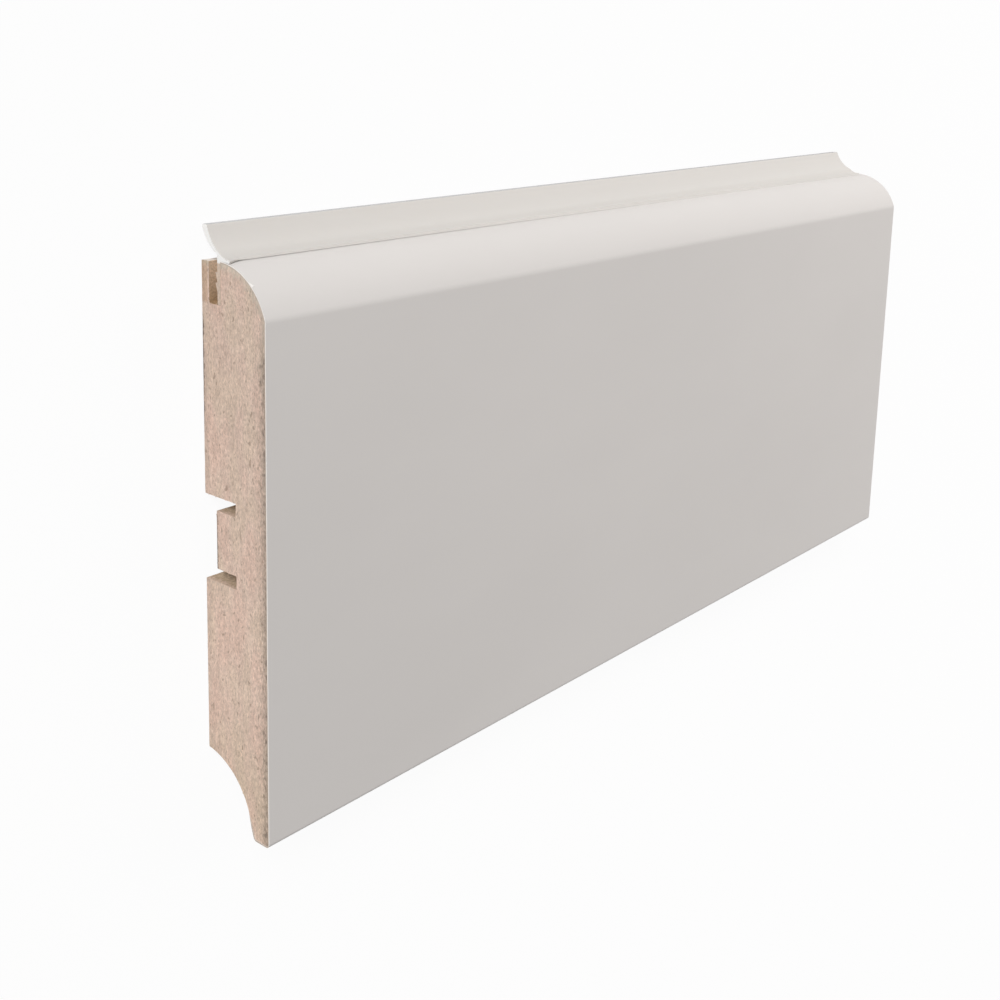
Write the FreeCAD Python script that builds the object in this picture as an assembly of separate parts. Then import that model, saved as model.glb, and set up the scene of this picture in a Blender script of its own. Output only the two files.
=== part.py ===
import FreeCAD, Part
import math
import os

# Skirting board length, lying on its back face. Millimetres.
# +X runs along the board, +Y from the foot to the lip, +Z out of the decorative face.
# The section is drawn in two values: height above the foot, and depth behind the decorative face.

# Board
board_length = 226.0
board_height = 100.0
board_thickness = 16.0

# Decorative film, wrapped over the nose and round the foot
film_thickness = 0.3
film_return = 4.3

# Rounded nose: an arc from the crest at the kerf down to a soft crease in the face
crease_angle = 18.2
crease_round = 3.0
crest_behind_kerf = 0.25

# Saw kerf in the top edge, which holds the lip
kerf_width = 3.0
kerf_depth = 7.0
back_strip = 1.85

# Two clip slots in the back, with a recessed tongue between them
tongue_centre_height = 52.15
tongue_height = 10.35
tongue_recess = 3.0
slot_height = 2.4
slot_depth = 8.0

# Cable channel hollowed out of the lower back, and the foot in front of it. The foot's back is
# straight: it runs down from the channel's arc to a heel that is set in from the arc's front
channel_radius = 12.65
channel_centre_height = 0.5
foot_thickness = 4.6
foot_front_round = 0.6
heel_set_in = 1.1
heel_round = 0.3

# Sealing lip: a curved blade on a foot that sits on the nose, with a barbed stem
lip_rise = 5.6
lip_tip_thickness = 1.25
lip_tip_clearance = 0.25
lip_tip_round = 0.25
blade_front_bow = 1.13
blade_back_bow = 0.65
blade_back_root_rise = 1.0
lip_foot_reach = 2.6
lip_foot_edge = 0.3
stem_thickness = 0.75
stem_floor_gap = 0.25
barb_count = 2
barb_top_depth = 1.6
barb_pitch = 1.75
barb_reach = 0.5
barb_taper = 1.5

# The lip's right end is trimmed at a slant: how far at the front edge of its foot, and at its tip
lip_trim_at_foot = 2.2
lip_trim_at_tip = 7.8

# Worked out from the values above
kerf_back = board_thickness - back_strip
kerf_front = kerf_back - kerf_width
core_top = board_height - film_thickness
kerf_floor = core_top - kerf_depth
crest_depth = kerf_front + crest_behind_kerf
nose_radius = crest_depth / math.cos(math.radians(crease_angle))
nose_centre = (board_height - nose_radius, crest_depth)
crease_reach = crest_depth - crease_round
crease_rise = math.sqrt((nose_radius - crease_round) ** 2 - crease_reach**2)
crease_centre = (nose_centre[0] + crease_rise, crease_round)
crease_turn = 180 - math.degrees(math.atan2(crease_rise, crease_reach))
channel_centre = (channel_centre_height, foot_thickness + channel_radius)
heel_centre = (film_thickness + heel_round, foot_thickness - heel_set_in)
heel_to_channel = (channel_centre[0] - heel_centre[0], channel_centre[1] - heel_centre[1])
heel_lean = math.degrees(math.acos((channel_radius + heel_round) / math.hypot(*heel_to_channel)))
heel_turn = math.degrees(math.atan2(*heel_to_channel)) - heel_lean
overall_height = board_height + lip_rise


def place(height, depth):
    """A point of the section, at the board's left end."""
    return FreeCAD.Vector(-board_length / 2, height - overall_height / 2, board_thickness - depth)


def line(start, end):
    return Part.LineSegment(place(*start), place(*end)).toShape()


def arc(start, middle, end):
    return Part.Arc(place(*start), place(*middle), place(*end)).toShape()


def on_circle(centre, radius, degrees):
    """A point of a circle: 0 degrees points to greater depth and 90 degrees up."""
    turn = math.radians(degrees)
    return (centre[0] + radius * math.sin(turn), centre[1] + radius * math.cos(turn))


def round_arc(centre, radius, start_degrees, end_degrees):
    stops = (start_degrees, (start_degrees + end_degrees) / 2, end_degrees)
    return arc(*[on_circle(centre, radius, stop) for stop in stops])


def nose_turn(depth, radius):
    """Where the nose's circle of this radius has this depth, in degrees."""
    return math.degrees(math.acos((depth - crest_depth) / radius))


def bowed_arc(start, end, bow):
    """An arc that sags from the middle of its chord by bow, down and to the back."""
    rise, run = end[0] - start[0], end[1] - start[1]
    chord = math.hypot(rise, run)
    middle = (
        (start[0] + end[0]) / 2 - bow * run / chord,
        (start[1] + end[1]) / 2 + bow * rise / chord,
    )
    return arc(start, middle, end)


def extrude(edges):
    """Carries a closed section along the whole board."""
    wire = Part.Wire(Part.sortEdges(edges)[0])
    return Part.Face(wire).extrude(FreeCAD.Vector(board_length, 0, 0))


def slab(low_height, high_height, front_depth, back_depth):
    """A straight cutter that runs the length of the board."""
    corners = [
        (low_height, front_depth),
        (low_height, back_depth),
        (high_height, back_depth),
        (high_height, front_depth),
    ]
    return extrude([line(corners[i], corners[(i + 1) % 4]) for i in range(4)])


def wrapped_outline(skin):
    """The outline that the film follows, from the kerf over the nose, face and sole up the foot's back.

    skin 0 is the core's surface and skin film_thickness is the film's outside.
    It returns the edges, the outline's two ends and where the foot's back meets the channel's arc.
    """
    face = film_thickness - skin
    radius = nose_radius - face
    kerf_turn = nose_turn(kerf_front, radius)
    top = on_circle(nose_centre, radius, kerf_turn)

    front_centre = (film_thickness + foot_front_round, film_thickness + foot_front_round)
    front_radius = foot_front_round + skin

    heel_top = on_circle(heel_centre, heel_round + skin, heel_turn)
    arc_foot = on_circle(channel_centre, channel_radius - skin, 180 + heel_turn)
    rise, run = arc_foot[0] - heel_top[0], arc_foot[1] - heel_top[1]
    share = film_return / math.hypot(rise, run)
    end = (heel_top[0] + share * rise, heel_top[1] + share * run)

    edges = [
        round_arc(nose_centre, radius, kerf_turn, crease_turn),
        round_arc(crease_centre, crease_round - face, crease_turn, 180),
        line((crease_centre[0], face), (front_centre[0], face)),
        round_arc(front_centre, front_radius, 180, 270),
        line((face, front_centre[1]), (face, heel_centre[1])),
        round_arc(heel_centre, heel_round + skin, 270, 360 + heel_turn),
        line(heel_top, end),
    ]
    return edges, top, end, arc_foot


def make_core():
    """Fibreboard core: moulded nose and foot, sawn kerf and clip slots, hollowed channel."""
    edges, top, film_end, arc_foot = wrapped_outline(0)
    channel_turn = math.degrees(math.acos((board_thickness - channel_centre[1]) / channel_radius))
    back_foot = on_circle(channel_centre, channel_radius, channel_turn)
    edges += [
        line(film_end, arc_foot),
        round_arc(channel_centre, channel_radius, 180 + heel_turn, channel_turn),
        line(back_foot, (core_top, board_thickness)),
        line((core_top, board_thickness), (core_top, kerf_front)),
        line((core_top, kerf_front), top),
    ]
    core = extrude(edges)

    tongue_low = tongue_centre_height - tongue_height / 2
    tongue_high = tongue_centre_height + tongue_height / 2
    slot_front = board_thickness - slot_depth
    cutters = [
        slab(kerf_floor, board_height, kerf_front, kerf_back),
        slab(tongue_low, tongue_high, board_thickness - tongue_recess, board_thickness),
        slab(tongue_low - slot_height, tongue_low, slot_front, board_thickness),
        slab(tongue_high, tongue_high + slot_height, slot_front, board_thickness),
    ]
    return core.cut(cutters)


def make_film():
    """Decorative film, one skin from the kerf to its return inside the channel."""
    inside, inside_top, inside_end, _ = wrapped_outline(0)
    outside, outside_top, outside_end, _ = wrapped_outline(film_thickness)
    ends = [line(inside_top, outside_top), line(inside_end, outside_end)]
    return extrude(inside + outside + ends)


def end_trim(front_depth, back_depth):
    """A cutter with one slanting side, which trims the lip's right end."""
    slant = (lip_trim_at_tip - lip_trim_at_foot) / (back_depth - front_depth)
    corners = []
    for depth in (0, board_thickness):
        trim = lip_trim_at_foot + slant * (depth - front_depth)
        corners.append((board_length / 2 - trim, depth))
    for depth in (board_thickness, 0):
        corners.append((board_length, depth))
    low = -overall_height / 2
    points = [FreeCAD.Vector(x, low, board_thickness - depth) for x, depth in corners]
    face = Part.Face(Part.makePolygon(points + points[:1]))
    return face.extrude(FreeCAD.Vector(0, overall_height, 0))


def make_lip():
    """Flexible sealing lip, its foot on the nose and its stem against the kerf's front wall."""
    stem_back = kerf_front + stem_thickness
    stem_end = kerf_floor + stem_floor_gap
    foot_depth = kerf_front - lip_foot_reach
    foot_turn = nose_turn(foot_depth, nose_radius)
    kerf_turn = nose_turn(kerf_front, nose_radius)
    foot_edge = on_circle(nose_centre, nose_radius, foot_turn)
    foot_top = (foot_edge[0] + lip_foot_edge, foot_depth)
    stem_top = on_circle(nose_centre, nose_radius, kerf_turn)
    tip_back = (overall_height, board_thickness - lip_tip_clearance)
    tip_front = (overall_height, tip_back[1] - lip_tip_thickness)
    back_root = (board_height + blade_back_root_rise, stem_back)

    stem = [stem_top, (stem_end, kerf_front), (stem_end, stem_back)]
    for i in reversed(range(barb_count)):
        shoulder = core_top - barb_top_depth - i * barb_pitch
        stem += [
            (shoulder - barb_taper, stem_back),
            (shoulder, stem_back + barb_reach),
            (shoulder, stem_back),
        ]
    stem.append(back_root)

    edges = [line(stem[i], stem[i + 1]) for i in range(len(stem) - 1)]
    edges += [
        bowed_arc(back_root, tip_back, blade_back_bow),
        line(tip_back, tip_front),
        bowed_arc(foot_top, tip_front, blade_front_bow),
        line(foot_top, foot_edge),
        round_arc(nose_centre, nose_radius, foot_turn, kerf_turn),
    ]
    lip = extrude(edges)
    tip_edges = [
        edge
        for edge in lip.Edges
        if edge.BoundBox.XLength > board_length / 2
        and abs(edge.BoundBox.Center.y - overall_height / 2) < lip_tip_round
    ]
    return lip.makeFillet(lip_tip_round, tip_edges).cut(end_trim(foot_depth, tip_front[1]))


parts = {
    "mdf_core": make_core(),
    "decor_film": make_film(),
    "sealing_lip": make_lip(),
}

os.makedirs("parts", exist_ok=True)
for name, shape in parts.items():
    shape.exportStep(os.path.join("parts", name + ".step"))
    box = shape.BoundBox
    print(
        name,
        "solids",
        len(shape.Solids),
        "valid",
        shape.isValid(),
        "volume",
        round(shape.Volume, 1),
        "y",
        round(box.YMin, 3),
        round(box.YMax, 3),
        "z",
        round(box.ZMin, 3),
        round(box.ZMax, 3),
    )
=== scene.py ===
import bpy
import bmesh
import math
from mathutils import Matrix, Vector, noise


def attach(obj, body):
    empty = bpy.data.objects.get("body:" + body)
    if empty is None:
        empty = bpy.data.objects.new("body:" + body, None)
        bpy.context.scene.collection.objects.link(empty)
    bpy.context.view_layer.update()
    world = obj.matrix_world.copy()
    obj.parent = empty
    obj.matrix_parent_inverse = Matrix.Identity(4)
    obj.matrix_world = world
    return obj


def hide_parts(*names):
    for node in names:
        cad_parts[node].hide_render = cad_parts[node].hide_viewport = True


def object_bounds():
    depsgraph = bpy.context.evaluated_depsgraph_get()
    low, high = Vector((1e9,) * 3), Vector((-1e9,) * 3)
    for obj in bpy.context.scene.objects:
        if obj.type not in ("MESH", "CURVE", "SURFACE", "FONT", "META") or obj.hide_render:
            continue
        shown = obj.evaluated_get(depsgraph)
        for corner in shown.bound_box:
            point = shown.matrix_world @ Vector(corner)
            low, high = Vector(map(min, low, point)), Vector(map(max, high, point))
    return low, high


# Skirting board length, lying on its back. Its sizes are in millimetres, and those of its section are
# heights above the foot and depths behind the decorative face. What Blender gets is in metres, as the
# values of the floor, the lights and the camera are.

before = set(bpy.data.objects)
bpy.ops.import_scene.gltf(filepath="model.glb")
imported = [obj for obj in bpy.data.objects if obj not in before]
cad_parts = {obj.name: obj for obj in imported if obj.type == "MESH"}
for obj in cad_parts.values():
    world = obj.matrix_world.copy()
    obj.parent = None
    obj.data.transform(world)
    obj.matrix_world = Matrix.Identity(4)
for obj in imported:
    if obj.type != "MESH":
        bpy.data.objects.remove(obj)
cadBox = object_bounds()
mm = 0.001
halfLength = cadBox[1].x  # in metres
print("frame loaded, half length", round(halfLength, 4))

board = dict(
    height=100.0,
    thickness=16.0,
    filmThickness=0.3,
    filmReturn=4.3,
    creaseAngle=18.2,
    creaseRound=3.0,
    crestBehindKerf=0.25,
    kerfWidth=3.0,
    kerfDepth=7.0,
    backStrip=1.85,
    tongueCentre=52.15,
    tongueHeight=10.35,
    tongueRecess=3.0,
    slotHeight=2.4,
    slotDepth=8.0,
    channelRadius=12.65,
    channelCentreHeight=0.5,
    footThickness=4.6,
    footRound=0.6,
    heelSetIn=1.1,
    heelRound=0.3,
)
outlineDetail = dict(
    arcStep=0.3,
    arcCount=7,  # at least
    bowCount=16,
    cornerStops=(0, 0.33, 0.67, 1),
    cornerPart=2.1,  # a corner's curve takes at most this part of its shorter side
    sharpFrom=25,
)
overallHeight = (cadBox[1].y - cadBox[0].y) / mm
kerfBack = board["thickness"] - board["backStrip"]
kerfFront = kerfBack - board["kerfWidth"]
coreTop = board["height"] - board["filmThickness"]
kerfFloor = coreTop - board["kerfDepth"]
crestDepth = kerfFront + board["crestBehindKerf"]
noseRadius = crestDepth / math.cos(math.radians(board["creaseAngle"]))
noseCentre = (board["height"] - noseRadius, crestDepth)
creaseReach = crestDepth - board["creaseRound"]
creaseRise = math.sqrt((noseRadius - board["creaseRound"]) ** 2 - creaseReach**2)
creaseCentre = (noseCentre[0] + creaseRise, board["creaseRound"])
creaseTurn = 180 - math.degrees(math.atan2(creaseRise, creaseReach))
channelCentre = (board["channelCentreHeight"], board["footThickness"] + board["channelRadius"])
heelCentre = (board["filmThickness"] + board["heelRound"], board["footThickness"] - board["heelSetIn"])
heelToChannel = Vector(channelCentre) - Vector(heelCentre)
heelLean = math.acos((board["channelRadius"] + board["heelRound"]) / heelToChannel.length)
heelTurn = math.degrees(math.atan2(heelToChannel.x, heelToChannel.y) - heelLean)


def yPlace(height):
    # A height above the foot as a place on the object's Y axis, in metres
    return (height - overallHeight / 2) * mm


# Outlines of the section, as lists of (height, depth)


def onCircle(centre, radius, degrees):
    turn = math.radians(degrees)  # 0 points to greater depth, 90 points up
    return (centre[0] + radius * math.sin(turn), centre[1] + radius * math.cos(turn))


def arcPoints(centre, radius, start, end):
    length = abs(math.radians(end - start)) * radius
    count = max(outlineDetail["arcCount"], round(length / outlineDetail["arcStep"]))
    return [onCircle(centre, radius, start + (end - start) * i / count) for i in range(count + 1)]


def bowedPoints(start, end, bow):
    rise, run = end[0] - start[0], end[1] - start[1]
    chord = math.hypot(rise, run)
    count = outlineDetail["bowCount"]
    points = []
    for i in range(count + 1):
        t = i / count
        sag = 4 * bow * t * (1 - t) / chord
        points.append((start[0] + rise * t - sag * run, start[1] + run * t + sag * rise))
    return points


def softened(points, radius, closed=True):
    rounded = []  # each sharp corner becomes a small curve
    for i, corner in enumerate(points):
        here = Vector(corner)
        if not closed and i in (0, len(points) - 1):
            rounded.append(tuple(here))
            continue
        back = Vector(points[i - 1]) - here
        ahead = Vector(points[(i + 1) % len(points)]) - here
        if math.degrees(ahead.angle(-back)) < outlineDetail["sharpFrom"]:
            rounded.append(tuple(here))
            continue
        cut = min(radius, min(back.length, ahead.length) / outlineDetail["cornerPart"])
        start = here + back.normalized() * cut
        end = here + ahead.normalized() * cut
        for t in outlineDetail["cornerStops"]:
            rounded.append(tuple(start * (1 - t) ** 2 + here * 2 * t * (1 - t) + end * t * t))
    return rounded


def noseTurn(depth, radius):
    # Where the nose's circle of this radius has this depth
    return math.degrees(math.acos((depth - crestDepth) / radius))


def noseHeight(depth):
    return noseCentre[0] + math.sqrt(noseRadius**2 - (depth - crestDepth) ** 2)


def wrapPoints(skin, shorter=0.0):
    # The film's way from the kerf round the foot: skin 0 is the core, filmThickness the outside
    film = board["filmThickness"]
    face = film - skin
    radius = noseRadius - face
    footCentre = (film + board["footRound"], film + board["footRound"])
    heelTop = Vector(onCircle(heelCentre, board["heelRound"] + skin, heelTurn))
    arcFoot = Vector(onCircle(channelCentre, board["channelRadius"] - skin, 180 + heelTurn))
    points = arcPoints(noseCentre, radius, noseTurn(kerfFront, radius), creaseTurn)
    points += arcPoints(creaseCentre, board["creaseRound"] - face, creaseTurn, 180)[1:]
    points += arcPoints(footCentre, board["footRound"] + skin, 180, 270)
    points += arcPoints(heelCentre, board["heelRound"] + skin, 270, 360 + heelTurn)
    reach = board["filmReturn"] - shorter
    points.append(tuple(heelTop + (arcFoot - heelTop).normalized() * reach))
    return points


def corePoints():
    back = board["thickness"]
    channelTurn = math.degrees(math.acos((back - channelCentre[1]) / board["channelRadius"]))
    tongueLow = board["tongueCentre"] - board["tongueHeight"] / 2
    tongueHigh = tongueLow + board["tongueHeight"]
    slotFront = back - board["slotDepth"]
    tongueBack = back - board["tongueRecess"]
    points = wrapPoints(0)
    points += arcPoints(channelCentre, board["channelRadius"], 180 + heelTurn, channelTurn)
    points += [
        (tongueLow - board["slotHeight"], back),
        (tongueLow - board["slotHeight"], slotFront),
        (tongueLow, slotFront),
        (tongueLow, tongueBack),
        (tongueHigh, tongueBack),
        (tongueHigh, slotFront),
        (tongueHigh + board["slotHeight"], slotFront),
        (tongueHigh + board["slotHeight"], back),
        (coreTop, back),
        (coreTop, kerfBack),
        (kerfFloor, kerfBack),
        (kerfFloor, kerfFront),
    ]
    return points


# Node trees

nodeGrid = dict(rows=6, across=220, down=300)
noiseSpan = (0.3, 0.7)  # most values of a noise lie between these


def addNode(tree, kind, **settings):
    # Nodes stand in columns, in the order in which they are made
    column, row = divmod(len(tree.nodes), nodeGrid["rows"])
    node = tree.nodes.new(kind)
    node.location = (column * nodeGrid["across"], -row * nodeGrid["down"])
    for setting, value in settings.items():
        setattr(node, setting, value)
    return node


def feed(tree, socket, value):
    # Gives a socket another node's output, a colour or a number
    if isinstance(value, bpy.types.NodeSocket):
        tree.links.new(value, socket)
    elif isinstance(value, tuple):
        socket.default_value = (*value, 1.0)
    else:
        socket.default_value = value


def worked(tree, operation, first, second=0.0):
    node = addNode(tree, "ShaderNodeMath", operation=operation)
    feed(tree, node.inputs[0], first)
    feed(tree, node.inputs[1], second)
    return node.outputs[0]


def ranged(tree, value, fromMin, fromMax, toMin=0.0, toMax=1.0):
    node = addNode(tree, "ShaderNodeMapRange")
    feed(tree, node.inputs["Value"], value)
    feed(tree, node.inputs["From Min"], fromMin)
    feed(tree, node.inputs["From Max"], fromMax)
    feed(tree, node.inputs["To Min"], toMin)
    feed(tree, node.inputs["To Max"], toMax)
    return node.outputs[0]


def vectorOf(tree, values):
    node = addNode(tree, "ShaderNodeCombineXYZ")
    for socket, value in zip(node.inputs, values):
        feed(tree, socket, value)
    return node.outputs[0]


def partsOf(tree, vector):
    node = addNode(tree, "ShaderNodeSeparateXYZ")
    tree.links.new(vector, node.inputs[0])
    return tuple(node.outputs)


def compared(tree, operation, first, second):
    node = addNode(tree, "FunctionNodeCompare", operation=operation)
    feed(tree, node.inputs["A"], first)
    feed(tree, node.inputs["B"], second)
    return node.outputs[0]


def randomValue(tree, low, high, seed):
    # The node has sockets of one name for each data type, so they go by their place
    node = addNode(tree, "FunctionNodeRandomValue", data_type="FLOAT")
    feed(tree, node.inputs[2], low)
    feed(tree, node.inputs[3], high)
    node.inputs["Seed"].default_value = seed
    return node.outputs[1]


def newTree(name, inputs, output):
    # The inputs are given as label: (kind of socket, value)
    tree = bpy.data.node_groups.new(name, "GeometryNodeTree")
    for label, (kind, value) in inputs.items():
        socket = tree.interface.new_socket(label, in_out="INPUT", socket_type="NodeSocket" + kind)
        if value is not None:
            socket.default_value = value
    tree.interface.new_socket(output, in_out="OUTPUT", socket_type="NodeSocketGeometry")
    return tree, addNode(tree, "NodeGroupInput").outputs


def finishTree(tree, geometry, finish):
    real = addNode(tree, "GeometryNodeRealizeInstances")
    painted = addNode(tree, "GeometryNodeSetMaterial")
    result = addNode(tree, "NodeGroupOutput")
    tree.links.new(geometry, real.inputs[0])
    tree.links.new(real.outputs[0], painted.inputs["Geometry"])
    tree.links.new(finish, painted.inputs["Material"])
    tree.links.new(painted.outputs[0], result.inputs[0])


# What each tree takes, with lengths in metres

sweepInputs = {
    "Section": ("Geometry", None),
    "Length": ("Float", 0.2),
    "Ring Spacing": ("Float", 0.004),
    "Nick Depth": ("Float", 0.0),
    "Nick Size": ("Float", 0.0006),
    "Finish": ("Material", None),
}
endNicks = dict(endFrom=0.9999, detail=2.0, span=(0.5, 0.8))


def mouldingSweep():
    # Carries a section along the board, caps it and nicks its sawn ends
    tree, given = newTree("mouldingSweep", sweepInputs, "Piece")
    link = tree.links.new
    half = worked(tree, "MULTIPLY", given["Length"], 0.5)
    minusHalf = worked(tree, "MULTIPLY", half, -1.0)
    way = addNode(tree, "GeometryNodeCurvePrimitiveLine")
    rings = addNode(tree, "GeometryNodeResampleCurve", mode="LENGTH")
    section = addNode(tree, "GeometryNodeMeshToCurve")
    sweep = addNode(tree, "GeometryNodeCurveToMesh")
    sweep.inputs["Fill Caps"].default_value = True
    link(vectorOf(tree, (minusHalf, 0.0, 0.0)), way.inputs["Start"])
    link(vectorOf(tree, (half, 0.0, 0.0)), way.inputs["End"])
    link(way.outputs[0], rings.inputs["Curve"])
    link(given["Ring Spacing"], rings.inputs["Length"])
    link(given["Section"], section.inputs[0])
    link(rings.outputs[0], sweep.inputs["Curve"])
    link(section.outputs[0], sweep.inputs["Profile Curve"])

    # Points at the two ends are pushed inwards by a noise
    place = addNode(tree, "GeometryNodeInputPosition").outputs[0]
    along = partsOf(tree, place)[0]
    share = worked(tree, "DIVIDE", worked(tree, "ABSOLUTE", along), half)
    atEnd = compared(tree, "GREATER_THAN", share, endNicks["endFrom"])
    pattern = addNode(tree, "ShaderNodeTexNoise")
    pattern.inputs["Detail"].default_value = endNicks["detail"]
    link(place, pattern.inputs["Vector"])
    link(worked(tree, "DIVIDE", 1.0, given["Nick Size"]), pattern.inputs["Scale"])
    bite = ranged(tree, pattern.outputs[0], *endNicks["span"], 0.0, given["Nick Depth"])
    inward = worked(tree, "MULTIPLY", worked(tree, "SIGN", along), -1.0)
    shift = vectorOf(tree, (worked(tree, "MULTIPLY", inward, bite), 0.0, 0.0))
    nicked = addNode(tree, "GeometryNodeSetPosition")
    link(sweep.outputs[0], nicked.inputs["Geometry"])
    link(atEnd, nicked.inputs["Selection"])
    link(shift, nicked.inputs["Offset"])
    finishTree(tree, nicked.outputs[0], given["Finish"])
    return tree


scatterInputs = {
    "Board": ("Geometry", None),
    "Density": ("Float", 1e6),
    "Shortest": ("Float", 0.0002),
    "Longest": ("Float", 0.0006),
    "Width": ("Float", 0.0001),
    "Lean": ("Float", 0.6),
    "Lowest": ("Float", 0.0003),
    "Seed": ("Int", 1),
    "Finish": ("Material", None),
}
strewing = dict(
    sawnFrom=0.9,
    widths=(0.6, 1.5),
    flatness=0.4,
    lift=0.15,
    tones=(-1.0, 1.0),
    seeds=dict(length=11, width=12, lean=13, lift=14, tone=15),
)


def fibreScatter():
    # Strews short sawn fibres over the two ends, mostly along the board's height
    tree, given = newTree("fibreScatter", scatterInputs, "Fibred Board")
    link = tree.links.new
    seeds = strewing["seeds"]
    facing = partsOf(tree, addNode(tree, "GeometryNodeInputNormal").outputs[0])
    sawn = compared(tree, "GREATER_THAN", worked(tree, "ABSOLUTE", facing[0]), strewing["sawnFrom"])
    place = partsOf(tree, addNode(tree, "GeometryNodeInputPosition").outputs[0])
    tooLow = compared(tree, "LESS_THAN", place[2], given["Lowest"])
    scatter = addNode(tree, "GeometryNodeDistributePointsOnFaces")
    kept = addNode(tree, "GeometryNodeDeleteGeometry", domain="POINT")
    link(given["Board"], scatter.inputs["Mesh"])
    link(sawn, scatter.inputs["Selection"])
    link(given["Density"], scatter.inputs["Density"])
    link(given["Seed"], scatter.inputs["Seed"])
    link(scatter.outputs["Points"], kept.inputs["Geometry"])
    link(tooLow, kept.inputs["Selection"])

    # Each fibre's size, as thickness, length and width, and its turn
    length = randomValue(tree, given["Shortest"], given["Longest"], seeds["length"])
    spread = randomValue(tree, *strewing["widths"], seeds["width"])
    width = worked(tree, "MULTIPLY", given["Width"], spread)
    thickness = worked(tree, "MULTIPLY", given["Width"], strewing["flatness"])
    size = vectorOf(tree, (thickness, length, width))
    otherLean = worked(tree, "MULTIPLY", given["Lean"], -1.0)
    lean = randomValue(tree, otherLean, given["Lean"], seeds["lean"])
    lift = randomValue(tree, -strewing["lift"], strewing["lift"], seeds["lift"])
    rotation = addNode(tree, "FunctionNodeEulerToRotation")
    link(vectorOf(tree, (lean, 0.0, lift)), rotation.inputs[0])

    # Every fibre is one small box and carries a tone of its own
    fibre = addNode(tree, "GeometryNodeMeshCube")
    strewn = addNode(tree, "GeometryNodeInstanceOnPoints")
    toned = addNode(tree, "GeometryNodeStoreNamedAttribute", data_type="FLOAT", domain="INSTANCE")
    toned.inputs["Name"].default_value = "tone"
    both = addNode(tree, "GeometryNodeJoinGeometry")
    link(kept.outputs[0], strewn.inputs["Points"])
    link(fibre.outputs["Mesh"], strewn.inputs["Instance"])
    link(rotation.outputs[0], strewn.inputs["Rotation"])
    link(size, strewn.inputs["Scale"])
    link(strewn.outputs[0], toned.inputs["Geometry"])
    link(randomValue(tree, *strewing["tones"], seeds["tone"]), toned.inputs["Value"])
    link(toned.outputs[0], both.inputs[0])
    link(given["Board"], both.inputs[0])
    finishTree(tree, both.outputs[0], given["Finish"])
    return tree


sweepTree = mouldingSweep()
scatterTree = fibreScatter()
print("node trees made")


def addObject(name, mesh):
    piece = bpy.data.objects.new(name, mesh)
    bpy.context.scene.collection.objects.link(piece)
    return piece


def applyTree(piece, tree, values):
    # Turns the tree's result into the piece's own plain mesh
    modifier = piece.modifiers.new(tree.name, "NODES")
    modifier.node_group = tree
    for item in tree.interface.items_tree:
        if item.in_out == "INPUT" and item.name in values:
            modifier[item.identifier] = values[item.name]
    graph = bpy.context.evaluated_depsgraph_get()
    graph.update()
    mesh = bpy.data.meshes.new_from_object(piece.evaluated_get(graph), depsgraph=graph)
    mesh.name = piece.name
    piece.modifiers.remove(modifier)
    piece.data = mesh


def smooth(piece, sharpFrom):
    piece.data.shade_smooth()
    piece.data.set_sharp_from_angle(angle=math.radians(sharpFrom))


def sweptPiece(name, outline, values):
    # The sweep looks along the board, so the section's two directions are turned round
    corners = []
    for height, depth in outline:
        corners.append((-yPlace(height), (depth - board["thickness"]) * mm, 0))
    loop = [(i, (i + 1) % len(corners)) for i in range(len(corners))]
    mesh = bpy.data.meshes.new(name)
    mesh.from_pydata(corners, loop, [])
    piece = addObject(name, mesh)
    applyTree(piece, sweepTree, values)
    return piece


# Finishes


def newMaterial(name):
    material = bpy.data.materials.new(name)
    material.use_nodes = True
    material.node_tree.nodes.clear()
    return material, material.node_tree


def addShader(tree, colour, roughness, specular):
    shader = addNode(tree, "ShaderNodeBsdfPrincipled")
    feed(tree, shader.inputs["Base Color"], colour)
    feed(tree, shader.inputs["Roughness"], roughness)
    feed(tree, shader.inputs["Specular IOR Level"], specular)
    return shader


def addOutput(tree, surface, kind="ShaderNodeOutputMaterial"):
    output = addNode(tree, kind)
    tree.links.new(surface, output.inputs["Surface"])


def objectPattern(tree, size, stretch=(1, 1, 1), detail=2.0, roughness=0.5):
    # Noise whose blots are about size millimetres, stretched along the object's axes
    where = addNode(tree, "ShaderNodeTexCoord")
    mapping = addNode(tree, "ShaderNodeMapping")
    mapping.inputs["Scale"].default_value = [1 / (size * mm * s) for s in stretch]
    pattern = addNode(tree, "ShaderNodeTexNoise")
    pattern.inputs["Scale"].default_value = 1.0
    pattern.inputs["Detail"].default_value = detail
    pattern.inputs["Roughness"].default_value = roughness
    tree.links.new(where.outputs["Object"], mapping.inputs["Vector"])
    tree.links.new(mapping.outputs[0], pattern.inputs["Vector"])
    return pattern.outputs[0]


def blended(tree, share, first, second, mode="MIX"):
    node = addNode(tree, "ShaderNodeMix", data_type="RGBA", blend_type=mode)
    feed(tree, node.inputs[0], share)
    feed(tree, node.inputs[6], first)
    feed(tree, node.inputs[7], second)
    return node.outputs[2]


def shaded(tree, colour, shade):
    return blended(tree, 1.0, colour, shade, "MULTIPLY")


def tinted(tree, share, colour, tint):
    # Multiplies a colour by a tint, as far as the share says
    return shaded(tree, colour, blended(tree, share, (1.0, 1.0, 1.0), tint))


def bumped(tree, shader, height, strength, distance):
    bump = addNode(tree, "ShaderNodeBump")
    bump.inputs["Strength"].default_value = strength
    bump.inputs["Distance"].default_value = distance * mm
    tree.links.new(height, bump.inputs["Height"])
    tree.links.new(bump.outputs[0], shader.inputs["Normal"])


def metres(sizes):
    return [size * mm for size in sizes]


def yPlaces(heights):
    return [yPlace(height) for height in heights]


def objectAxes(tree):
    # A point's places along the board and up it, both from its middle, and off its back
    where = addNode(tree, "ShaderNodeTexCoord")
    return partsOf(tree, where.outputs["Object"])


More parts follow.
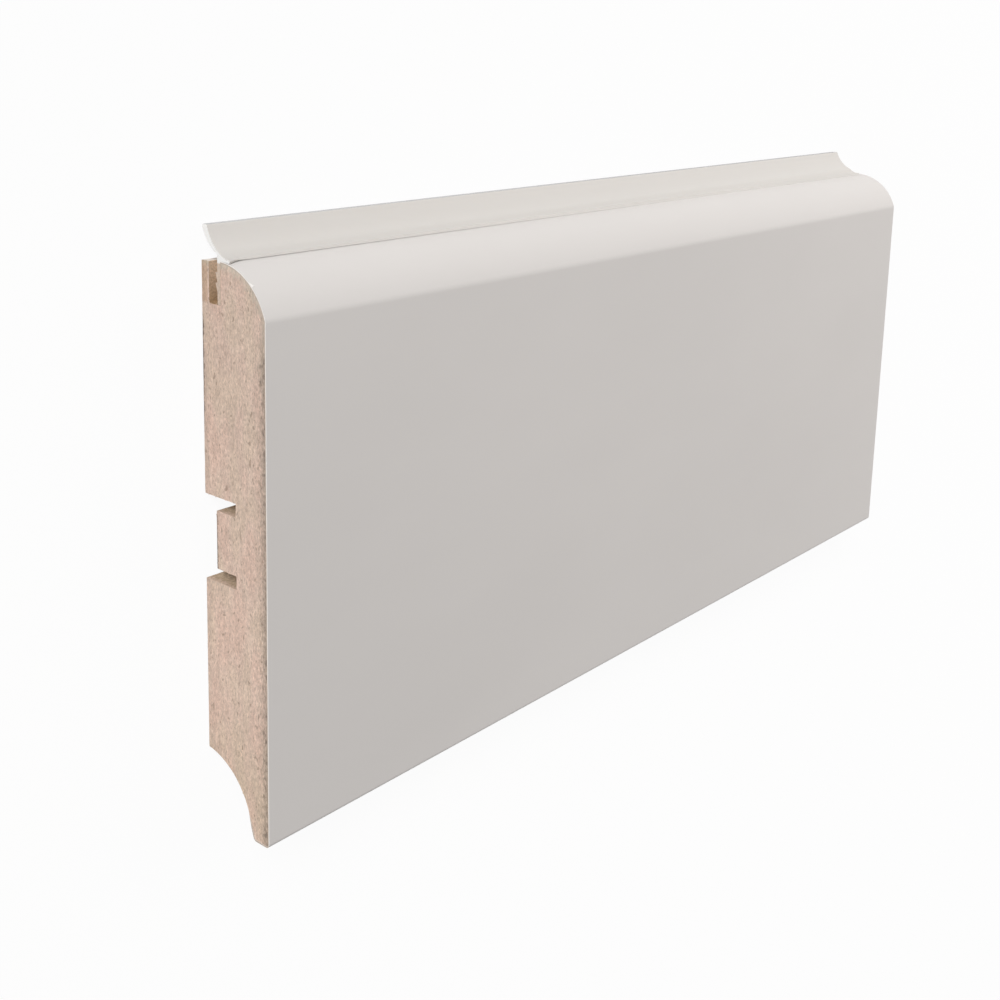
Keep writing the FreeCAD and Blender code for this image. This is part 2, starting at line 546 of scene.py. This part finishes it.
def surfaceNormal(tree):
    geometry = addNode(tree, "ShaderNodeNewGeometry")
    return partsOf(tree, geometry.outputs["True Normal"])


maskSpans = dict(sawn=(0.4, 0.6), upward=(0.75, 0.95))


def sawnMask(tree):
    # 1 on faces that look along the board, which are its two sawn ends
    size = worked(tree, "ABSOLUTE", surfaceNormal(tree)[0])
    return ranged(tree, size, *maskSpans["sawn"])


def topMask(tree, up, heights):
    # 1 on faces that look up the board, from the second of the two heights on
    upward = ranged(tree, surfaceNormal(tree)[1], *maskSpans["upward"])
    above = ranged(tree, up, *yPlaces(heights))
    return worked(tree, "MULTIPLY", upward, above)


def skinDistance(tree, up, off):
    # How far a point of an end lies behind the film, on the face and on the nose
    depth = worked(tree, "SUBTRACT", board["thickness"] * mm, off)
    rise = worked(tree, "SUBTRACT", up, yPlace(noseCentre[0]))
    front = worked(tree, "SUBTRACT", crestDepth * mm, depth)
    rise = worked(tree, "MAXIMUM", rise, 0.0)
    front = worked(tree, "MAXIMUM", front, 0.0)
    length = addNode(tree, "ShaderNodeVectorMath", operation="LENGTH")
    tree.links.new(vectorOf(tree, (rise, front, 0.0)), length.inputs[0])
    inside = worked(tree, "SUBTRACT", noseRadius * mm, length.outputs["Value"])
    return worked(tree, "MINIMUM", depth, inside)


fibreboardLook = dict(
    # Colours of the sawn ends
    body=(0.675, 0.520, 0.433),
    reddish=(0.686, 0.510, 0.424),
    olive=(0.663, 0.5235, 0.424),
    darkFibre=(0.36, 0.266, 0.208),
    paleFibre=(0.87, 0.712, 0.602),
    # Colours of their rims, and tints of stretches of them
    skin=(0.31, 0.255, 0.21),
    noseRim=(0.69, 0.64, 0.535),
    rimFibre=(0.36, 0.285, 0.222),
    rimSpeck=(0.20, 0.165, 0.14),
    backRim=(0.42, 0.36, 0.31),
    # painted shade: a thin dark line along two stretches of the back edge
    paintedRimShade=(0.13, 0.10, 0.09),
    lowTint=(1.05, 1.045, 1.04),
    footTint=(0.945, 0.945, 0.91),
    backStrip=(0.89, 0.82, 0.75),
    # Colours of the back, the grooves and the top edge
    sanded=(0.56, 0.43, 0.335),
    milled=(0.41, 0.31, 0.215),
    # painted light: the pale colour deep inside the grooves
    paintedGrooveLight=(0.90, 0.74, 0.57),
    kerfTop=(0.73, 0.54, 0.39),
    kerfFloor=(0.41, 0.275, 0.16),
    topEdge=(0.86, 0.79, 0.73),
    # Patterns, by the size of their blots and how far these are drawn out along each axis
    patches=dict(size=3.2, stretch=(1, 3.0, 1), detail=0.0),
    bands=dict(size=0.9, stretch=(1, 6.0, 1)),
    streaks=dict(size=0.24, stretch=(1, 3.4, 1), detail=3.0, roughness=0.65),
    mottle=dict(size=0.30, stretch=(1, 1.7, 1), roughness=0.6),
    specks=dict(size=0.55, stretch=(1, 1.7, 1), detail=0.0),
    wander=dict(size=0.55, stretch=(1, 1.8, 1), detail=3.0, roughness=0.65),
    frays=dict(size=0.22, stretch=(6, 1, 1), roughness=0.6),
    toolMarks=dict(size=0.30, detail=3.0, roughness=0.6),
    grain=dict(size=0.14, stretch=(1, 1.6, 1), detail=3.0, roughness=0.7),
    # From which to which of its values a pattern counts, and the shares or shades at those two,
    # where they aren't 0 and 1
    reddishSpan=(0.50, 0.66),
    oliveSpan=(0.50, 0.35),
    bandSpan=(0.3, 0.7, 0.93, 1.07),
    darkStreakSpan=(0.48, 0.28, 0.0, 0.57),
    paleStreakSpan=(0.54, 0.74, 0.0, 0.58),
    mottleSpan=(0.3, 0.7, 0.85, 1.15),
    speckSpan=(0.73, 0.79, 0.0, 0.7),
    rimFibreSpan=(0.60, 0.34, 0.0, 0.75),
    rimSpeckSpan=(0.56, 0.68, 0.0, 0.75),
    fraySpan=(0.35, 0.7),
    toolMarkSpan=(0.3, 0.7, 0.75, 1.25),
    toneSpan=(-1.0, 1.0, 0.74, 1.26),
    # Reaches are distances from the film or the back, where a rim starts to fade and where it is gone
    drift=0.75,  # how far the rims wander to either side
    rimFibreReach=(0.3, 3.6),
    skinReach=(0.3, 1.9),
    skinShare=0.66,
    rimSpeckReach=(0.5, 1.6),
    backReach=(0.0, 1.5),
    backShare=0.36,
    noseSpan=(86.0, 99.5),  # heights between which the rim turns pale
    noseFade=4.0,
    noseShare=0.2,
    # Two stretches of the back edge with a thin dark line of painted shade: the tongue's and one below
    # the kerf
    rimShadeDrift=0.35,  # as a share of the rims' drift
    shadedBackEdges=(
        dict(
            height=board["tongueCentre"],
            half=board["tongueHeight"] / 2,
            fade=0.1,
            inset=board["tongueRecess"],
            width=0.24,
            shares=(0.9, 0.35),
        ),
        dict(height=81.5, half=10.5, fade=3.0, inset=0.0, width=0.22, shares=(0.65, 0.85)),
    ),
    # Heights over which the tints come and go, and distances from the back for the strip's
    lowSpan=(40.8, 72.8),
    footSpan=(8.8, 22.8),
    stripHeights=(kerfFloor - 0.1, kerfFloor + 0.3),
    stripSpan=(1.6, 1.3),
    # Distances from an end at which the grooves are frayed, and at which their colour turns to painted
    # light
    frayReach=1.1,
    frayDepth=0.9,
    frayShare=0.6,
    grooveLightSpan=(4.0, 0.8),
    kerfFade=0.2,
    backFade=(0.3, 0.1),
    topHeights=(coreTop - 0.2, coreTop - 0.1),
    roughness=0.92,
    specular=0.2,
    bump=(0.45, 0.06),
)


def sawnBody(tree, streaks, specks):
    # Faint patches, bands and fine fibres, all along the height
    look = fibreboardLook
    patches = objectPattern(tree, **look["patches"])
    body = blended(tree, ranged(tree, patches, *look["reddishSpan"]), look["body"], look["reddish"])
    body = blended(tree, ranged(tree, patches, *look["oliveSpan"]), body, look["olive"])
    bands = objectPattern(tree, **look["bands"])
    body = shaded(tree, body, ranged(tree, bands, *look["bandSpan"]))
    body = blended(tree, ranged(tree, streaks, *look["darkStreakSpan"]), body, look["darkFibre"])
    body = blended(tree, ranged(tree, streaks, *look["paleStreakSpan"]), body, look["paleFibre"])
    mottle = objectPattern(tree, **look["mottle"])
    body = shaded(tree, body, ranged(tree, mottle, *look["mottleSpan"]))
    return blended(tree, ranged(tree, specks, *look["speckSpan"]), body, look["darkFibre"])


def marksBehindFilm(tree, pattern, span, distance, reach, offNose):
    near = ranged(tree, distance, *metres(reach), 1.0, 0.0)
    marks = worked(tree, "MULTIPLY", ranged(tree, pattern, *span), near)
    return worked(tree, "MULTIPLY", marks, offNose)


def rimmed(tree, body, up, distance, streaks, specks):
    # Denser and darker towards the film, but with a pale rim on the nose
    look = fibreboardLook
    noseStart, noseEnd = yPlaces(look["noseSpan"])
    offNose = ranged(tree, up, noseStart, noseStart + look["noseFade"] * mm, 1.0, look["noseShare"])
    fibres = (streaks, look["rimFibreSpan"], distance, look["rimFibreReach"], offNose)
    body = blended(tree, marksBehindFilm(tree, *fibres), body, look["rimFibre"])
    nearSkin = ranged(tree, distance, *metres(look["skinReach"]), look["skinShare"], 0.0)
    skinColour = blended(tree, ranged(tree, up, noseStart, noseEnd), look["skin"], look["noseRim"])
    body = blended(tree, nearSkin, body, skinColour)
    dots = (specks, look["rimSpeckSpan"], distance, look["rimSpeckReach"], offNose)
    return blended(tree, marksBehindFilm(tree, *dots), body, look["rimSpeck"])


def rimShadeShare(tree, up, fromBack, edge):
    # How strong the painted shade line is at a point of an end, on one stretch of its back edge
    half = edge["half"] * mm
    stretch = worked(tree, "SUBTRACT", up, yPlace(edge["height"]))
    along = ranged(tree, worked(tree, "ABSOLUTE", stretch), half, half - edge["fade"] * mm)
    start = (edge["inset"] + edge["width"] / 2) * mm
    near = ranged(tree, fromBack, start, start + edge["width"] * mm, 1.0, 0.0)
    paintedRimShade = ranged(tree, stretch, -half / 2, half, *edge["shares"])
    return worked(tree, "MULTIPLY", worked(tree, "MULTIPLY", near, along), paintedRimShade)


def heightTints(tree, body, up, off):
    # The lower half is paler, the foot more ochre and the thin strip behind the kerf browner
    look = fibreboardLook
    body = tinted(tree, ranged(tree, up, *yPlaces(look["lowSpan"]), 1.0, 0.0), body, look["lowTint"])
    body = tinted(tree, ranged(tree, up, *yPlaces(look["footSpan"]), 1.0, 0.0), body, look["footTint"])
    aboveKerf = ranged(tree, up, *yPlaces(look["stripHeights"]))
    atBack = ranged(tree, off, *metres(look["stripSpan"]))
    return tinted(tree, worked(tree, "MULTIPLY", aboveKerf, atBack), body, look["backStrip"])


def grooveColour(tree, along, up, off):
    # Sanded back and darker sawn grooves, frayed where they meet an end and paler deep inside as
    # painted light
    look = fibreboardLook
    frays = objectPattern(tree, **look["frays"])
    frayReach = ranged(tree, frays, *look["fraySpan"], 0.0, look["frayReach"] * mm)
    outward = worked(tree, "ADD", worked(tree, "ABSOLUTE", along), frayReach)
    frayStart = halfLength - look["frayDepth"] * mm
    frayed = ranged(tree, outward, frayStart, halfLength, 0.0, look["frayShare"])
    # Painted light: deep inside the grooves the colour turns pale
    deep, shallow = [halfLength - depth for depth in metres(look["grooveLightSpan"])]
    inside = ranged(tree, outward, deep, shallow, 1.0, 0.0)
    groove = blended(tree, inside, look["milled"], look["paintedGrooveLight"])
    groove = blended(tree, frayed, groove, look["body"])
    kerfSpan = ranged(tree, up, *yPlaces((kerfFloor, coreTop)))
    kerfShade = blended(tree, kerfSpan, look["kerfFloor"], look["kerfTop"])
    inKerf = ranged(tree, up, *yPlaces((kerfFloor - look["kerfFade"], kerfFloor)))
    groove = blended(tree, inKerf, groove, kerfShade)
    toolMarks = objectPattern(tree, **look["toolMarks"])
    groove = shaded(tree, groove, ranged(tree, toolMarks, *look["toolMarkSpan"]))
    groove = blended(tree, ranged(tree, off, *metres(look["backFade"])), groove, look["sanded"])
    return blended(tree, topMask(tree, up, look["topHeights"]), groove, look["topEdge"])


def fibreboardMaterial():
    look = fibreboardLook
    material, tree = newMaterial("sawnFibreboard")
    along, up, off = objectAxes(tree)
    streaks = objectPattern(tree, **look["streaks"])
    specks = objectPattern(tree, **look["specks"])
    body = sawnBody(tree, streaks, specks)

    # The rims wander, the painted shade lines on the back edge less than the others
    wander = objectPattern(tree, **look["wander"])
    drift = ranged(tree, wander, *noiseSpan, *metres((-look["drift"], look["drift"])))
    distance = worked(tree, "ADD", skinDistance(tree, up, off), drift)
    body = rimmed(tree, body, up, distance, streaks, specks)
    fromBack = worked(tree, "ADD", off, drift)
    nearBack = ranged(tree, fromBack, *metres(look["backReach"]), look["backShare"], 0.0)
    body = blended(tree, nearBack, body, look["backRim"])
    rimShadeDrift = worked(tree, "MULTIPLY", drift, look["rimShadeDrift"])
    fromBack = worked(tree, "ADD", off, rimShadeDrift)
    # Painted shade along two stretches of the back edge
    for edge in look["shadedBackEdges"]:
        body = blended(tree, rimShadeShare(tree, up, fromBack, edge), body, look["paintedRimShade"])

    body = heightTints(tree, body, up, off)
    body = blended(tree, sawnMask(tree), grooveColour(tree, along, up, off), body)

    # Each strewn fibre carries its own tone
    tone = addNode(tree, "ShaderNodeAttribute")
    tone.attribute_name = "tone"
    body = shaded(tree, body, ranged(tree, tone.outputs["Fac"], *look["toneSpan"]))
    shader = addShader(tree, body, look["roughness"], look["specular"])
    relief = worked(tree, "ADD", objectPattern(tree, **look["grain"]), streaks)
    bumped(tree, shader, relief, *look["bump"])
    addOutput(tree, shader.outputs[0])
    return material


filmLook = dict(
    colour=(0.726, 0.698, 0.676),
    cloudShade=0.972,
    cutEdge=(0.93, 0.90, 0.86),
    glueLine=(0.54, 0.45, 0.38),
    glueSpan=(0.11, 0.19),
    clouds=dict(size=26.0, stretch=(2, 1, 1), detail=3.0),
    smudges=dict(size=4.0, stretch=(2, 1, 1), detail=3.0, roughness=0.6),
    peel=dict(size=0.5, stretch=(1.6, 1, 1)),
    roughness=(0.54, 0.57),
    specular=0.3,
    bump=(0.10, 0.012),
)


def filmMaterial():
    look = filmLook
    material, tree = newMaterial("wrappedFilm")
    up, off = objectAxes(tree)[1:]
    clouds = objectPattern(tree, **look["clouds"])
    darker = tuple(part * look["cloudShade"] for part in look["colour"])
    colour = blended(tree, ranged(tree, clouds, *noiseSpan), look["colour"], darker)

    # On the sawn ends only the outer skin of the film is bright
    glueShare = ranged(tree, skinDistance(tree, up, off), *metres(look["glueSpan"]))
    cut = blended(tree, glueShare, look["cutEdge"], look["glueLine"])
    colour = blended(tree, sawnMask(tree), colour, cut)
    smudges = objectPattern(tree, **look["smudges"])
    roughness = ranged(tree, smudges, *noiseSpan, *look["roughness"])
    shader = addShader(tree, colour, roughness, look["specular"])
    bumped(tree, shader, objectPattern(tree, **look["peel"]), *look["bump"])
    addOutput(tree, shader.outputs[0])
    return material


lipLook = dict(
    colour=(0.675, 0.648, 0.615),
    cutEdge=(0.93, 0.92, 0.90),
    footShade=0.92,
    footShadeHeight=1.8,
    stem=(0.61, 0.485, 0.385),
    stemTop=99.8,
    stemFade=0.3,
    dust=dict(size=0.35, stretch=(1, 1.6, 1), roughness=0.6),
    dustSpan=(0.3, 0.7, 0.82, 1.18),
    topEdge=(0.50, 0.36),
    topHeights=(overallHeight - 0.6, overallHeight - 0.5),
    drawn=dict(size=0.25, stretch=(200, 1, 1)),
    roughness=(0.38, 0.5),
    specular=0.45,
    bump=(0.3, 0.01),
    softWeight=0.12,
    softRadius=(1.0, 0.9, 0.8),
    softScale=1.0,
)


def lipMaterial():
    look = lipLook
    material, tree = newMaterial("softLip")
    along, up = objectAxes(tree)[:2]
    shadeHeights = (board["height"], board["height"] + look["footShadeHeight"])
    footShade = ranged(tree, up, *yPlaces(shadeHeights), look["footShade"], 1.0)
    colour = shaded(tree, look["colour"], footShade)
    colour = blended(tree, sawnMask(tree), colour, look["cutEdge"])

    # Sawdust covers the stem
    dust = objectPattern(tree, **look["dust"])
    dusty = shaded(tree, look["stem"], ranged(tree, dust, *look["dustSpan"]))
    stemShare = ranged(tree, up, *yPlaces((look["stemTop"], look["stemTop"] - look["stemFade"])))
    colour = blended(tree, stemShare, colour, dusty)

    # Painted shade: the tip's upper edge is darkened, most of all towards the right end
    edgeShade = ranged(tree, along, -halfLength, halfLength, *look["topEdge"])
    colour = blended(tree, topMask(tree, up, look["topHeights"]), colour, edgeShade)

    drawn = objectPattern(tree, **look["drawn"])
    roughness = ranged(tree, drawn, *noiseSpan, *look["roughness"])
    shader = addShader(tree, colour, roughness, look["specular"])
    shader.inputs["Subsurface Weight"].default_value = look["softWeight"]
    shader.inputs["Subsurface Radius"].default_value = look["softRadius"]
    shader.inputs["Subsurface Scale"].default_value = look["softScale"] * mm
    bumped(tree, shader, drawn, *look["bump"])
    addOutput(tree, shader.outputs[0])
    return material


woodFinish = fibreboardMaterial()
filmFinish = filmMaterial()
lipFinish = lipMaterial()
print("finishes made")


# Pieces

coreShape = dict(
    cornerSoftness=0.12,
    endRecess=0.035,
    ringSpacing=20.0,
    gridStep=0.4,
    gridStart=0.63,  # as a share of the step
    relief=0.05,
    reliefSize=0.9,
    reliefSquash=0.6,  # along the height
    reliefFractal=(0.8, 2.0, 3),  # dimension, lacunarity and octaves
    fibreDensity=1.7,
    fibreLengths=(0.22, 0.75),
    fibreWidth=0.08,
    fibreLean=0.55,
    fibreLowest=0.25,
    fibreSeed=4,
    sharpFrom=35,
)
tiny = 1e-6


def gridEnds(shape, step):
    # Cuts both sawn ends into a fine grid, so that they can carry relief
    ends = [face for face in shape.faces if abs(face.normal.x) > strewing["sawnFrom"]]
    geometry = list({v for f in ends for v in f.verts}) + list({e for f in ends for e in f.edges})
    geometry += ends
    for axis in (1, 2):
        low, high = cadBox[0][axis], cadBox[1][axis]
        normal = Vector((0, 0, 0))
        normal[axis] = 1
        place = low + step * coreShape["gridStart"]
        while place < high:
            cut = bmesh.ops.bisect_plane(
                shape, geom=geometry, dist=tiny, plane_co=normal * place, plane_no=normal
            )
            geometry = cut["geom"]
            place += step


def roughenEnds(shape, endPlace):
    # Pushes the grid's points inwards by a noise
    look = coreShape
    for corner in shape.verts:
        if abs(corner.co.x) > endPlace - tiny:
            spot = Vector((corner.co.x, corner.co.y * look["reliefSquash"], corner.co.z))
            depth = 0.5 + 0.5 * noise.fractal(spot / (look["reliefSize"] * mm), *look["reliefFractal"])
            corner.co.x -= math.copysign(depth * look["relief"] * mm, corner.co.x)


def makeCore():
    look = coreShape
    endPlace = halfLength - look["endRecess"] * mm
    values = {
        "Length": 2 * endPlace,
        "Ring Spacing": look["ringSpacing"] * mm,
        "Nick Depth": 0.0,
        "Finish": woodFinish,
    }
    piece = sweptPiece("fibreboardCore", softened(corePoints(), look["cornerSoftness"]), values)
    shape = bmesh.new()
    shape.from_mesh(piece.data)
    gridEnds(shape, look["gridStep"] * mm)
    roughenEnds(shape, endPlace)
    shape.to_mesh(piece.data)
    shape.free()
    fibres = {
        "Density": look["fibreDensity"] / mm**2,
        "Shortest": look["fibreLengths"][0] * mm,
        "Longest": look["fibreLengths"][1] * mm,
        "Width": look["fibreWidth"] * mm,
        "Lean": look["fibreLean"],
        "Lowest": look["fibreLowest"] * mm,
        "Seed": look["fibreSeed"],
        "Finish": woodFinish,
    }
    applyTree(piece, scatterTree, fibres)
    smooth(piece, look["sharpFrom"])
    return piece


core = makeCore()
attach(core, "root")
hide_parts("mdf_core")
print("core made", len(core.data.polygons), "faces")

filmShape = dict(
    feathered=2.4,
    ringSpacing=20.0,
    nickDepth=0.05,
    nickSize=0.5,
    burrDepths=(4.2, 3.3),
    burrGap=0.01,
    burrLength=0.36,
    burrRise=0.23,
    burrThickness=0.05,
    sharpFrom=40,
)


def placed(x, height, depth):
    # A point of the section, at this place along the board
    return Vector((x, yPlace(height), (board["thickness"] - depth) * mm))


def addBurr(shape):
    # A thorn of film that the saw pushed up from the nose, at the near end
    look = filmShape
    left = -halfLength + look["burrGap"] * mm
    foot = [placed(left, noseHeight(depth), depth) for depth in look["burrDepths"]]
    middle = (foot[0] + foot[1]) / 2
    centre = placed(middle.x, *noseCentre)
    outward = (middle - centre).normalized()
    tip = foot[1] + outward * look["burrRise"] * mm
    tip.x += look["burrLength"] * mm
    corners = foot + [tip]
    behind = Vector((look["burrThickness"] * mm, 0, 0))
    front = [shape.verts.new(corner) for corner in corners]
    back = [shape.verts.new(corner + behind - outward * behind.x) for corner in corners]
    sides = [shape.faces.new(front), shape.faces.new(back[::-1])]
    for i in range(len(corners)):
        after = (i + 1) % len(corners)
        sides.append(shape.faces.new((front[i], back[i], back[after], front[after])))
    bmesh.ops.recalc_face_normals(shape, faces=sides)


def makeFilm():
    outline = wrapPoints(board["filmThickness"], filmShape["feathered"]) + wrapPoints(0)[::-1]
    values = {
        "Length": 2 * halfLength,
        "Ring Spacing": filmShape["ringSpacing"] * mm,
        "Nick Depth": filmShape["nickDepth"] * mm,
        "Nick Size": filmShape["nickSize"] * mm,
        "Finish": filmFinish,
    }
    piece = sweptPiece("decorativeFilm", outline, values)
    shape = bmesh.new()
    shape.from_mesh(piece.data)
    addBurr(shape)
    shape.to_mesh(piece.data)
    shape.free()
    smooth(piece, filmShape["sharpFrom"])
    return piece


film = makeFilm()
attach(film, "root")
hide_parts("decor_film")
print("film made", len(film.data.polygons), "faces")

lipShape = dict(
    tipThickness=1.25,
    tipClearance=0.25,
    tipRound=0.25,
    bladeFrontBow=1.13,
    bladeBackBow=0.65,
    backRootRise=1.0,
    footReach=2.6,
    footEdge=0.3,
    stemThickness=0.75,
    stemFloorGap=0.04,
    barbCount=2,
    barbTopDepth=1.6,
    barbPitch=1.75,
    barbReach=0.5,
    barbTaper=1.5,
    stemSoftness=0.06,
    nickDepth=0.03,
    nickSize=0.6,
    trimAtFoot=2.2,
    trimAtTip=7.8,
    trimBow=3.3,
    endThinning=0.75,
    sprungLength=3.0,
    sprungRise=0.24,
    sprungGap=0.20,
    gapFull=2.0,
    gapLength=5.0,
    sprungHug=(0.87, 0.95),
    endSkin=0.2,
    undercut=0.10,
    undercutShare=0.6,
    hugBelow=(0.50, 0.45),
    hugAbove=(0.47, 0.34),
    rises=(0.05, 0.68),
    ringSpacing=1.0,
    ringMargin=0.1,
    sharpFrom=40,
)


def lipPoints():
    shape = lipShape
    stemBack = kerfFront + shape["stemThickness"]
    stemEnd = kerfFloor + shape["stemFloorGap"]
    footDepth = kerfFront - shape["footReach"]
    tipBack = (overallHeight, board["thickness"] - shape["tipClearance"])
    tipFront = (overallHeight, tipBack[1] - shape["tipThickness"])
    backRoot = (board["height"] + shape["backRootRise"], stemBack)
    footTop = (noseHeight(footDepth) + shape["footEdge"], footDepth)
    blade = bowedPoints(backRoot, tipBack, shape["bladeBackBow"])
    blade += bowedPoints(footTop, tipFront, shape["bladeFrontBow"])[::-1]
    turns = (noseTurn(footDepth, noseRadius), noseTurn(kerfFront, noseRadius))
    foot = arcPoints(noseCentre, noseRadius, *turns)
    stem = [(stemEnd, kerfFront), (stemEnd, stemBack)]
    for i in reversed(range(shape["barbCount"])):
        shoulder = coreTop - shape["barbTopDepth"] - i * shape["barbPitch"]
        stem.append((shoulder - shape["barbTaper"], stemBack))
        stem.append((shoulder, stemBack + shape["barbReach"]))
        stem.append((shoulder, stemBack))
    points = softened(blade, shape["tipRound"], closed=False)
    points += softened(foot + stem, shape["stemSoftness"], closed=False)
    return points


def mixed(first, second, share):
    return first + (second - first) * share


def lipShift(place):
    # The foot hugs the nose, springs off it at the left end and rises towards the right end, where
    # the lip is trimmed at a slant
    shape = lipShape
    height = overallHeight / 2 + place.y / mm
    depth = board["thickness"] - place.z / mm
    along = (place.x + halfLength) / mm
    share = along * mm / (2 * halfLength)
    footDepth = kerfFront - shape["footReach"]
    tipDepth = board["thickness"] - shape["tipClearance"] - shape["tipThickness"]
    fromFoot = min(1.0, max(0.0, (depth - footDepth) / (tipDepth - footDepth)))
    slant = (shape["trimAtTip"] - shape["trimAtFoot"]) / (tipDepth - footDepth)
    trim = shape["trimAtFoot"] + slant * (depth - footDepth)
    trim += shape["trimBow"] * math.sqrt(fromFoot) * (1 - fromFoot)
    reach = max(0.0, (kerfFront - depth) / shape["footReach"])
    newHeight, newDepth = height, depth
    overNose = height - noseHeight(min(depth, crestDepth))
    upper = min(1.0, max(0.0, overNose / shape["footEdge"]))
    if depth < kerfFront:
        sprung = max(0.0, 1 - along / shape["sprungLength"])
        hug = mixed(mixed(*shape["hugBelow"], share), mixed(*shape["hugAbove"], share), upper)
        hug = mixed(hug, mixed(*shape["sprungHug"], upper), sprung)
        newDepth = kerfFront - (kerfFront - depth) * hug
        newHeight += noseHeight(newDepth) - noseHeight(depth)
        opening = min(1.0, along / shape["gapFull"])
        gap = shape["sprungGap"] * opening * max(0.0, 1 - along / shape["gapLength"])
        undercut = shape["undercut"] * max(0.0, 1 - share / shape["undercutShare"])
        newHeight += (gap + undercut) * reach * (1 - upper)
        newHeight += shape["sprungRise"] * sprung * reach * upper
    thinning = shape["endThinning"] * reach * share**2
    newHeight += upper * mixed(*shape["rises"], share) * (1 - thinning)
    return Vector((-trim * share, newHeight - height, depth - newDepth)) * mm


def makeLip():
    values = {
        "Length": 2 * halfLength,
        "Ring Spacing": lipShape["ringSpacing"] * mm,
        "Nick Depth": lipShape["nickDepth"] * mm,
        "Nick Size": lipShape["nickSize"] * mm,
        "Finish": lipFinish,
    }
    piece = sweptPiece("sealingLip", lipPoints(), values)
    # The ring next to the left end moves close to it, so that the end keeps its shape
    secondRing = -halfLength + lipShape["ringSpacing"] * mm
    for corner in piece.data.vertices:
        if abs(corner.co.x - secondRing) < lipShape["ringMargin"] * mm:
            corner.co.x = -halfLength + lipShape["endSkin"] * mm
        corner.co += lipShift(corner.co)
    smooth(piece, lipShape["sharpFrom"])
    return piece


lip = makeLip()
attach(lip, "root")
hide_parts("sealing_lip")
print("lip made", len(lip.data.polygons), "faces")


# Floor, lights and camera

floorLook = dict(
    reach=3.0,
    colour=(0.93, 0.93, 0.93),
    roughness=0.9,
    specular=0.1,
    whiteness=0.94,
    ambient=0.20,
)


def seenDirectly(tree):
    # 1 where the camera, a reflection or a refraction looks, and 0 for light on the object
    path = addNode(tree, "ShaderNodeLightPath").outputs
    seen = worked(tree, "MAXIMUM", path["Is Camera Ray"], path["Is Glossy Ray"])
    return worked(tree, "MAXIMUM", seen, path["Is Transmission Ray"])


def mixedShaders(tree, share, first, second):
    mix = addNode(tree, "ShaderNodeMixShader")
    for socket, value in zip(mix.inputs, (share, first, second)):
        tree.links.new(value, socket)
    return mix.outputs[0]


def makeFloor():
    look = floorLook
    reach = look["reach"]
    mesh = bpy.data.meshes.new("floor")
    corners = [(-reach, -reach, 0), (reach, -reach, 0), (reach, reach, 0), (-reach, reach, 0)]
    mesh.from_pydata(corners, [], [(0, 1, 2, 3)])
    floor = addObject("floor", mesh)
    material, tree = newMaterial("paleFloor")
    shader = addShader(tree, look["colour"], look["roughness"], look["specular"])
    glow = addNode(tree, "ShaderNodeEmission")
    share = worked(tree, "MULTIPLY", seenDirectly(tree), look["whiteness"])
    addOutput(tree, mixedShaders(tree, share, shader.outputs[0], glow.outputs[0]))
    mesh.materials.append(material)


def makeSky():
    # The world lights the object dimly, and looks white
    world = bpy.data.worlds.new("studio")
    bpy.context.scene.world = world
    world.use_nodes = True
    tree = world.node_tree
    tree.nodes.clear()
    lights = []
    for strength in (floorLook["ambient"], 1.0):
        light = addNode(tree, "ShaderNodeBackground")
        light.inputs["Color"].default_value = (1, 1, 1, 1)
        light.inputs["Strength"].default_value = strength
        lights.append(light.outputs[0])
    addOutput(tree, mixedShaders(tree, seenDirectly(tree), *lights), "ShaderNodeOutputWorld")


keyLight = dict(direction=(-0.6, 0.602, 0.527), strength=2.44, spread=22.0)
fillLight = dict(place=(0.6, 0.25, 0.6), size=0.5, power=1.85, colour=(1.0, 0.94, 0.90))


def addLamp(name, light, place):
    lamp = bpy.data.objects.new(name, light)
    lamp.location = place
    lamp.rotation_euler = place.to_track_quat("Z", "Y").to_euler()
    bpy.context.scene.collection.objects.link(lamp)


def makeLights():
    key = bpy.data.lights.new("key", "SUN")
    key.energy = keyLight["strength"]
    key.angle = math.radians(keyLight["spread"])
    addLamp("key", key, Vector(keyLight["direction"]))
    fill = bpy.data.lights.new("fill", "AREA")
    fill.size = fillLight["size"]
    fill.energy = fillLight["power"]
    fill.color = fillLight["colour"]
    addLamp("fill", fill, Vector(fillLight["place"]))


cameraPose = dict(
    place=(-0.252028, 0.085542, 0.181882),
    aim=(-0.05609, 0.03492, 0.016),
    imageUp=(0.13072, 0.98077, -0.1449),
    lens=49.97,
    sensorWidth=36.0,
    shiftY=-0.2,
    sight=(0.01, 20.0),
)


def makeCamera():
    data = bpy.data.cameras.new("camera")
    data.lens = cameraPose["lens"]
    data.sensor_width = cameraPose["sensorWidth"]
    data.shift_y = cameraPose["shiftY"]
    data.clip_start, data.clip_end = cameraPose["sight"]
    camera = bpy.data.objects.new("camera", data)
    bpy.context.scene.collection.objects.link(camera)
    place = Vector(cameraPose["place"])
    forward = (Vector(cameraPose["aim"]) - place).normalized()
    right = forward.cross(Vector(cameraPose["imageUp"])).normalized()
    up = right.cross(forward)
    turn = Matrix((right, up, -forward)).transposed().to_4x4()
    camera.matrix_world = Matrix.Translation(place) @ turn
    bpy.context.scene.camera = camera


makeFloor()
makeSky()
makeLights()
makeCamera()
bpy.context.scene.view_settings.view_transform = "Standard"
print("floor, lights and camera set")
